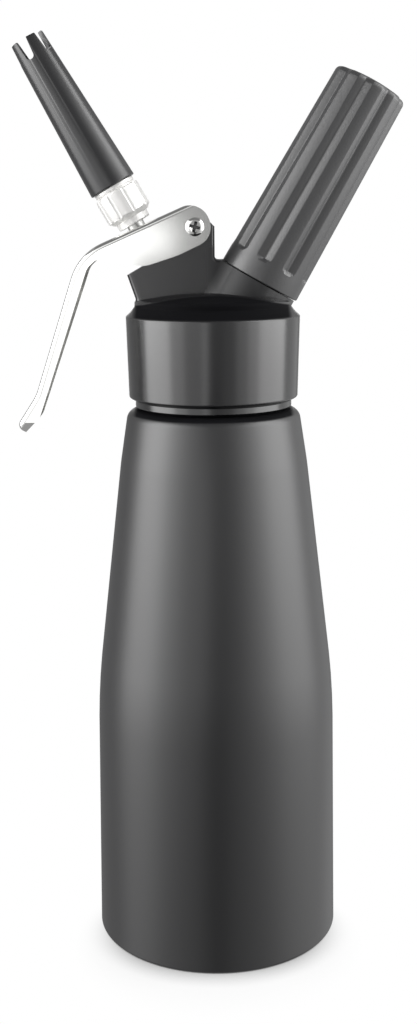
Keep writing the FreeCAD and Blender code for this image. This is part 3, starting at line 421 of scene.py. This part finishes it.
# ---- Bottle ---------------------------------------------------------------------------------------
def bottle():
    """Spun shell of one thickness on a dished foot, drawn in to a shoulder under its screw neck. Its
    inside and its neck are bare."""
    wall, dish, floor = 1.8, 1.6, 4.1
    ring_in, ring_flat, base_r = 38.4, 40, 46
    belly_r, belly_z, belly_round = 46.35, 92.5, 220
    waist_r, waist_z, waist_round = 36.9, 181, 60
    shoulder_r, shoulder_z = 33.9, 201.8
    neck_r, neck_z, bore_r, neck_edge = 28.3, 231.2, 26.2, 0.5
    outside = [
        (0, dish), (ring_in, dish, 1), (ring_flat, 0, 1), (base_r, 0, 1), (belly_r, belly_z, belly_round),
        (waist_r, waist_z, waist_round), (shoulder_r, shoulder_z, 4.2), (neck_r, shoulder_z, 0.6),
        (neck_r, neck_z, neck_edge)]
    inside = [
        (bore_r, neck_z, neck_edge), (bore_r, shoulder_z - wall, neck_edge),
        (shoulder_r - wall, shoulder_z - wall, 2.4), (waist_r - wall, waist_z, waist_round),
        (belly_r - wall, belly_z, belly_round), (base_r - wall, floor, 4), (0, floor)]
    form = lathe(outside + inside, 192, closed=False)
    for face in form.faces:
        middle = face.calc_center_median()
        normal = face.normal
        on_neck = middle.z > shoulder_z + 2
        on_wall = normal.x * middle.x + normal.y * middle.y < 0
        on_floor = normal.z > 0.5 and middle.z < 2 * floor
        under_shoulder = normal.z < -0.3 and middle.z > waist_z
        is_inside = middle.z > dish + 0.4 and (on_wall or on_floor or under_shoulder)
        face.material_index = int(on_neck or is_inside)
    thread = ridge(neck_r, crest=29.45, pitch=4, low=206.3, high=226.3)
    for face in thread.faces:
        face.material_index = 1
    make("bottle_shell", joined(form, thread), [POWDER_COAT, BARE], "bottle", ["bottle"])


# ---- Nozzle and its adapter -----------------------------------------------------------------------
def on_valve():
    """The valve's axis where the nozzle's base seats on the adapter."""
    place, lean = on_joint("nozzle_turn")
    return place @ lean


def nozzle():
    """Tapered tube that ends in five teeth, with round-bottomed notches between them."""
    length, base_r, tip_r, bore_r = 67.6, 9.65, 7.06, 5.1
    socket_r, socket_depth = 6.4, 12
    form = lathe([
        (socket_r, 0, 0.3), (base_r, 0, 0.5), (tip_r, length, 0.45), (bore_r, length, 0.45),
        (bore_r, socket_depth), (socket_r, socket_depth)], 120)
    notch_floor, notch_round, notch_half = 58.9, 1.44, 1.6
    over, over_half = length + 1, notch_half + 0.9
    notch = prism([
        (-notch_half, notch_floor, notch_round), (notch_half, notch_floor, notch_round),
        (over_half, over), (-over_half, over)], -12, 0)
    form = carved(form, repeated(notch, 5, turn=-16))
    softened(form, 0.8, above=length - 0.5, segments=4)
    softened(form, 0.22, above=notch_floor - 0.1)
    make("tulip_nozzle", form, [NYLON], "nozzle", ["nozzle"], on_valve())


def adapter():
    """Nut with nine flutes over a plain hub, under a flange and the threaded stub for the nozzle."""
    bore_r, bore_end, outlet_r = 3.52, -2.88, 2.6
    hub_r, hub_end = 6.85, -17.2
    nut_r, nut_low, nut_high, chamfer = 9.3, -14.4, -2.55, 1.8
    gap_r, flange_r, flange_low, flange_high = 7.9, 8.5, -1.75, -0.05
    stub_r, stub_end = 5.5, 10.6
    form = lathe([
        (bore_r, hub_end, 0.3), (hub_r, hub_end, 0.7), (hub_r, nut_low, 0.3),
        (nut_r - chamfer, nut_low, 0.2), (nut_r, nut_low + chamfer, 0.7), (nut_r, nut_high, 0.5),
        (gap_r, nut_high, 0.2), (gap_r, flange_low, 0.2), (flange_r, flange_low, 0.35),
        (flange_r, flange_high, 0.35), (stub_r, flange_high), (stub_r, stub_end, 0.4),
        (outlet_r, stub_end, 0.3), (outlet_r, bore_end), (bore_r, bore_end)], 180)
    flute_r, flute_depth = 0.98, 0.42
    flute_low, flute_high = hub_end - 2.8, nut_high + 0.25
    flute = lathe([(0, flute_low), (flute_r, flute_low), (flute_r, flute_high), (0, flute_high)], 24,
                  closed=False)
    bmesh.ops.translate(flute, vec=(0, -nut_r - flute_r + flute_depth, 0), verts=flute.verts)
    form = carved(form, repeated(flute, 9, turn=-21))
    thread = ridge(stub_r, crest=6.1, pitch=1.5, low=1, high=10.1)
    make("adapter_nut", joined(form, thread), [NICKEL], "valve", ["nozzle_adapter"],
         on_valve())


# ---- Pivot screw ----------------------------------------------------------------------------------
def pivot_screw():
    """Pan-head screw, made with its head up; the arms of its cross recess narrow and shorten with
    their depth."""
    shank_r, shank_end = 2.5, -12.3
    head_r, seat, rim, crown_r, top = 3.7, 10.1, 10.75, 2.5, 11.6
    form = lathe([
        (0, shank_end), (shank_r, shank_end, 0.3), (shank_r, seat), (head_r, seat, 0.15), (head_r, rim, 0.5),
        (crown_r, top, 2.2), (0, top)], 96, closed=False)
    floor, floor_half, over, over_half = 9.9, 0.34, 11.9, 0.62
    reach, floor_share = 2.3, 0.62
    arm = prism([(-floor_half, floor), (floor_half, floor), (over_half, over), (-over_half, over)],
                -reach, reach)
    for vert in arm.verts:
        vert.co.y *= floor_share + (1 - floor_share) * (vert.co.z - floor) / (over - floor)
    other = arm.copy()
    bmesh.ops.rotate(other, cent=(0, 0, 0), matrix=Matrix.Rotation(pi / 2, 3, "Z"), verts=other.verts)
    form = carved(carved(form, arm), other)
    # Painted shade: the sides and floor of the cross recess take the darker second material.
    for face in form.faces:
        middle = face.calc_center_median()
        within = hypot(middle.x, middle.y) < reach + 0.1
        on_side = abs(face.normal.z) < 0.5 and floor + 0.1 < middle.z < top - 0.01
        on_floor = abs(middle.z - floor) < 0.4
        face.material_index = int(within and (on_side or on_floor))
    bmesh.ops.rotate(form, cent=(0, 0, 0), matrix=Matrix.Rotation(radians(-15), 3, "Z"), verts=form.verts)
    pivot, _ = on_joint("lever_squeeze")
    make("pan_head_screw", form, [STAINLESS, RECESS_SHADE_PAINT], "head", ["pivot_screw"],
         pivot @ Matrix.Rotation(pi / 2, 4, "X"))


# ---- Charger holder -------------------------------------------------------------------------------
def spaced(low, step, count):
    return [low + step * index for index in range(count)]


def charger_holder():
    """Turned sleeve; its outside is drawn in along nine V grooves that run out through its end."""
    base_r, tip_r, edge, end = 16.75, 15.4, 89.5, 90.8
    socket_r, socket_end, pocket_r, pocket_end = 10.5, 22.3, 9.3, 82.1
    heights = spaced(6.4, 0.4, 13) + spaced(14, 3.5, 20) + spaced(84, 0.4, 8)
    rings = [(base_r + (tip_r - base_r) * z / edge, z) for z in heights]
    form = lathe([(socket_r, 0, 0.3), (base_r, 0, 0.6)] + rings + [
        (tip_r, edge, 2.2), (7.7, end, 40), (0, end), (0, pocket_end), (pocket_r, pocket_end, 4),
        (pocket_r, socket_end), (socket_r, socket_end)], 432, closed=False)
    start, depth, half, floor_r = 7.2, 1.6, 3.2, 1.2
    pitch, first = 360 / 9, -12.5
    slope = atan2(depth, half)
    floor_half = floor_r * sin(slope)
    deepest = depth - floor_r / cos(slope) + floor_r
    for vert in form.verts:
        radius = hypot(vert.co.x, vert.co.y)
        along = (vert.co.z - start) / half
        if radius < socket_r + 2 or along <= 0:
            continue
        turn = degrees(atan2(vert.co.x, -vert.co.y)) - first
        off = abs(radians((turn + pitch / 2) % pitch - pitch / 2)) * radius
        if off >= half * (1 - max(0, 1 - along) ** 2) ** 0.5:
            continue
        sunk = depth - off * tan(slope)
        if off < floor_half:
            sunk = deepest - floor_r + (floor_r ** 2 - off ** 2) ** 0.5
        sunk *= min(1, along * 2)
        vert.co.x *= (radius - sunk) / radius
        vert.co.y *= (radius - sunk) / radius
    place, lean = on_joint("holder_turn")
    make("grooved_holder", form, [GRAINED], "charger_holder", ["charger_holder"],
         place @ lean, crease=24)


# ---- Return spring --------------------------------------------------------------------------------
def return_spring():
    """Gives the return spring a mesh of its own; in the valve the stem's collar presses it down against the
    cup of the valve guide.
    """
    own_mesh(frame["nodes"]["valve_spring"])


bottle()
nozzle()
adapter()
pivot_screw()
charger_holder()
return_spring()


# ---- Studio --------------------------------------------------------------------------------------
REFLECTED = 0.34            # how bright gloss shows the white that the camera sees
FILL = 0.2                  # soft light from all round
LAMP_DISTANCE = 0.9         # of the standing lamps from the bottle's axis

# Standing lamps: angles from the camera's side in degrees, positive to the right, and radiance.
COLUMNS = (
    ("half left", (-16, -38), 0.6), ("quarter left", (-38, -58), 1.4), ("side left", (-58, -100), 3.4),
    ("front right", (14, 30), 0.1), ("half right", (30, 46), 0.65), ("quarter right", (46, 62), 1.4),
    ("side right", (62, 108), 2.8))
# Each column has three lamps: heights in metres, and the share of its radiance.
TIERS = ((" upper", (0.1, 1.0), 1), (" middle", (-0.15, 0.1), 0.6), (" lower", (-0.7, -0.15), 0.17))
# Single lamps: angles, heights and radiance. The reflectors stand where the lever mirrors them.
SINGLES = (
    ("bend reflector", (-5, -15), (0.17, 0.2385), 1.1),
    ("lever reflector", (-2.4, -14), (0.2385, 0.272), 1.3),
    ("handle reflector", (-6, -15), (-0.08, 0.17), 0.9),
    ("high quarter right", (50, 66), (1.0, 1.4), 1.6),
    ("high side right", (72, 104), (1.0, 1.4), 3.8),
    ("behind", (166, 194), (0.0, 0.45), 0.8),
    ("back right", (108, 150), (-0.7, 1.0), 0.3))


def shown(tree):
    """1 for what the camera sees, also through clear pieces, and less in reflections."""
    rays = add(tree, "ShaderNodeLightPath")
    reflected = add(tree, "ShaderNodeMath", {"operation": "MULTIPLY"},
                    {0: rays.outputs["Is Glossy Ray"], 1: REFLECTED})
    direct = add(tree, "ShaderNodeMath", {"operation": "MAXIMUM"},
                 {0: rays.outputs["Is Camera Ray"], 1: rays.outputs["Is Transmission Ray"]})
    both = add(tree, "ShaderNodeMath", {"operation": "MAXIMUM"},
               {0: direct.outputs[0], 1: reflected.outputs[0]})
    return both.outputs[0]


def studio_floor():
    """Floor that glows white far out; close to the object it is grey, glows less and keeps the object's
    shadow, and there its glow is darkened by ambient occlusion, a painted contact shade."""
    mesh = bmesh.new()
    bmesh.ops.create_grid(mesh, x_segments=1, y_segments=1, size=30)
    data = bpy.data.meshes.new("floor")
    mesh.to_mesh(data)
    mesh.free()
    floor = bpy.data.objects.new("floor", data)
    scene.collection.objects.link(floor)
    material, tree, shader = surface("pale floor", "#ffffff", 0.9, Specular_IOR_Level=0.0)
    forward, near_end, far_start = 22 * MM, 30 * MM, 57 * MM
    place = add(tree, "ShaderNodeTexCoord")
    shift = add(tree, "ShaderNodeMapping",
                inputs={"Vector": place.outputs["Object"], "Location": (0, forward, 0)})
    distance = add(tree, "ShaderNodeVectorMath", {"operation": "LENGTH"}, {0: shift.outputs["Vector"]})
    near = add(tree, "ShaderNodeMapRange", {"interpolation_type": "SMOOTHSTEP"},
               {"Value": distance.outputs["Value"], "From Min": near_end, "From Max": far_start,
                "To Min": 1.0, "To Max": 0.0})
    paint = add(tree, "ShaderNodeMix", {"data_type": "RGBA"},
                {0: near.outputs["Result"], 6: linear("#000000"), 7: linear("#8c8c8c")})
    feed(tree, shader.inputs["Base Color"], paint.outputs[2])
    # Painted contact shade: ambient occlusion darkens the floor's glow where it meets the object.
    contact = add(tree, "ShaderNodeAmbientOcclusion", {"samples": 16}, {"Distance": 10 * MM})
    shade = add(tree, "ShaderNodeMapRange", inputs={"Value": contact.outputs["AO"], "To Max": 0.68})
    glow = add(tree, "ShaderNodeMapRange",
               inputs={"Value": near.outputs["Result"], "To Min": 1.0, "To Max": shade.outputs["Result"]})
    light = add(tree, "ShaderNodeMath", {"operation": "MULTIPLY"},
                {0: glow.outputs["Result"], 1: shown(tree)})
    shader.inputs["Emission Color"].default_value = (1, 1, 1, 1)
    feed(tree, shader.inputs["Emission Strength"], light.outputs[0])
    data.materials.append(material)
    floor.visible_glossy = False
    floor.visible_shadow = False


def studio_world():
    """White behind the object, grey in its reflections and as a soft fill."""
    world = bpy.data.worlds.new("studio")
    scene.world = world
    world.use_nodes = True
    tree = world.node_tree
    light = tree.nodes["Background"]
    light.inputs["Color"].default_value = (1, 1, 1, 1)
    strength = add(tree, "ShaderNodeMath", {"operation": "MAXIMUM"}, {0: shown(tree), 1: FILL})
    feed(tree, light.inputs["Strength"], strength.outputs[0])


def softbox(name, sides, heights, radiance):
    """Standing lamp between two angles from the camera's side and two heights."""
    turn = radians((sides[0] + sides[1]) / 2)
    lamp = bpy.data.lights.new(name, "AREA")
    lamp.shape = "RECTANGLE"
    lamp.size = 2 * LAMP_DISTANCE * tan(radians(abs(sides[1] - sides[0]) / 2))
    lamp.size_y = heights[1] - heights[0]
    lamp.energy = 4 * radiance * lamp.size * lamp.size_y
    box = bpy.data.objects.new(name, lamp)
    scene.collection.objects.link(box)
    box.location = (LAMP_DISTANCE * sin(turn), -LAMP_DISTANCE * cos(turn), (heights[0] + heights[1]) / 2)
    box.rotation_euler = (pi / 2, 0, turn)
    box.visible_camera = False


def top_softbox():
    """Weak lamp overhead that lights without a reflection of its own."""
    lamp = bpy.data.lights.new("top softbox", "AREA")
    lamp.shape = "RECTANGLE"
    lamp.size = 0.9
    lamp.size_y = 0.9
    lamp.energy = 3
    box = bpy.data.objects.new("top softbox", lamp)
    scene.collection.objects.link(box)
    box.location = (0, -0.2, 1.3)
    box.visible_camera = False
    box.visible_glossy = False


def flag(name, place, target, width, height, shade):
    """Card that the camera doesn't see; it gives a dull, darker reflection."""
    mesh = bmesh.new()
    bmesh.ops.create_grid(mesh, x_segments=1, y_segments=1, size=0.5)
    bmesh.ops.scale(mesh, vec=(width, height, 1), verts=mesh.verts)
    turn = (Vector(target) - Vector(place)).to_track_quat("-Z", "Y").to_matrix().to_4x4()
    bmesh.ops.transform(mesh, matrix=Matrix.Translation(place) @ turn, verts=mesh.verts)
    data = bpy.data.meshes.new(name)
    mesh.to_mesh(data)
    mesh.free()
    material, _, shader = surface(name, "#000000", 1.0, Specular_IOR_Level=0.0)
    shader.inputs["Emission Color"].default_value = (1, 1, 1, 1)
    shader.inputs["Emission Strength"].default_value = shade
    data.materials.append(material)
    card = bpy.data.objects.new(name, data)
    scene.collection.objects.link(card)
    card.visible_camera = False
    card.visible_shadow = False
    card.visible_diffuse = False


def camera():
    """In front of the object, a little above the pivot screw, in a tall frame."""
    data = bpy.data.cameras.new("camera")
    data.lens = 50.09
    data.sensor_width = 36
    data.shift_y = -0.28
    data.clip_start = 0.02
    data.clip_end = 60
    made = bpy.data.objects.new("camera", data)
    scene.collection.objects.link(made)
    place = Matrix.Translation((-1.43 * MM, -566 * MM, 279.2 * MM))
    pitch = Matrix.Rotation(radians(90 - 0.50), 4, "X")
    roll = Matrix.Rotation(radians(-0.461), 4, "Z")
    made.matrix_world = place @ pitch @ roll
    scene.camera = made


studio_floor()
studio_world()
for column, sides, radiance in COLUMNS:
    for tier, heights, share in TIERS:
        softbox(column + tier, sides, heights, radiance * share)
for single in SINGLES:
    softbox(*single)
top_softbox()
flag("front card", (0, -0.5, -0.225), (0, 0, -0.225), width=0.16, height=0.65, shade=0.05)
flag("top flag", (0, -0.1, 1.05), (0, 0, 0.2), width=1.3, height=1.3, shade=0.2)
camera()
scene.view_settings.view_transform = "Standard"
